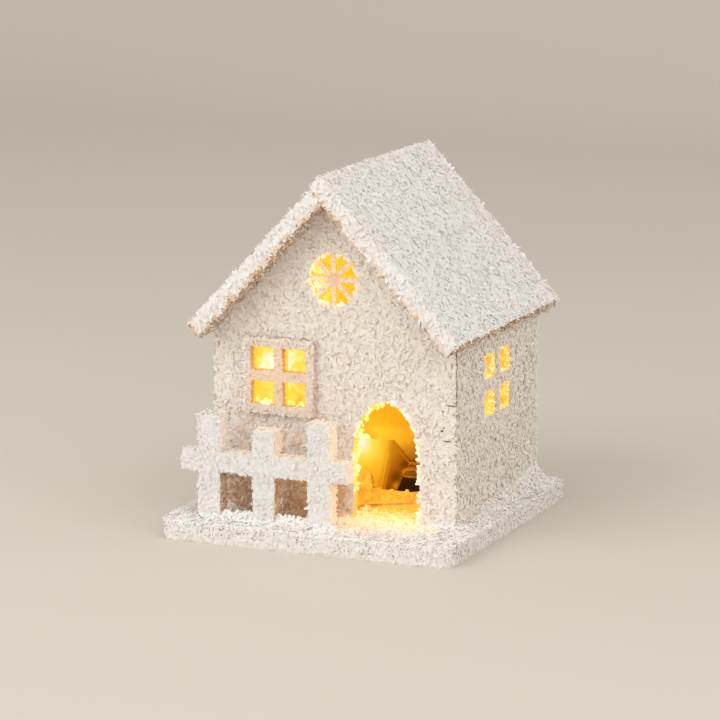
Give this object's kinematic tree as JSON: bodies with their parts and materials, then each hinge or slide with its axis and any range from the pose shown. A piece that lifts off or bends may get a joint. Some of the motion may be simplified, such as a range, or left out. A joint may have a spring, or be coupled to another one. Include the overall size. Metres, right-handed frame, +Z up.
{
  "type": "lit christmas house",
  "caption": "Wooden christmas house on a yard board, coated with white wood flakes, with an arched doorway, barred windows with yellow film, a pitched roof, a fence and a battery lamp inside.",
  "frame": {"origin": "middle of the base board's underside", "axes": "+X to the right seen from the front, -Y out of the front wall, +Z up"},
  "size_m": [0.128, 0.133, 0.1506],
  "materials": {
    "flake_coat": "matte",
    "bare_wood": "matte",
    "window_film": "satin",
    "steel": "satin",
    "cell_jacket": "satin",
    "circuit": "satin",
    "black_plastic": "matte",
    "lamp_lens": "gloss"
  },
  "bodies": {
    "house": {"base_board": "flake_coat", "front_wall": "flake_coat", "back_wall": "flake_coat", "left_wall": "flake_coat", "right_wall": "flake_coat", "left_roof": "flake_coat", "right_roof": "flake_coat", "window_frame": "flake_coat", "fence": "flake_coat", "snow_bank": "flake_coat", "sill_strip": "bare_wood", "front_film": "window_film", "round_film": "window_film", "left_film": "window_film", "right_film": "window_film", "screen_film": "window_film", "battery_case": "black_plastic", "case_screws": "steel", "front_cell": "cell_jacket", "rear_cell": "cell_jacket", "positive_contact": "steel", "negative_contact": "steel", "bridge_contact": "steel", "circuit_board": "circuit", "switch_body": "black_plastic", "lamp_cap": "black_plastic", "lamp_leads": "steel", "led_lamp": "lamp_lens"},
    "cover": {"battery_cover": "black_plastic"},
    "knob": {"switch_knob": "black_plastic"}
  },
  "joints": [
    {"name": "cover_hinge", "type": "hinge", "parent": "house", "child": "cover", "pos_m": [-0.02335, 0.02625, 0.0017], "axis": [0, 1, 0], "range_deg": [0, 90]},
    {"name": "switch_slide", "type": "slide", "parent": "house", "child": "knob", "axis": [-1, 0, 0], "range_m": [0, 0.0025]}
  ]
}
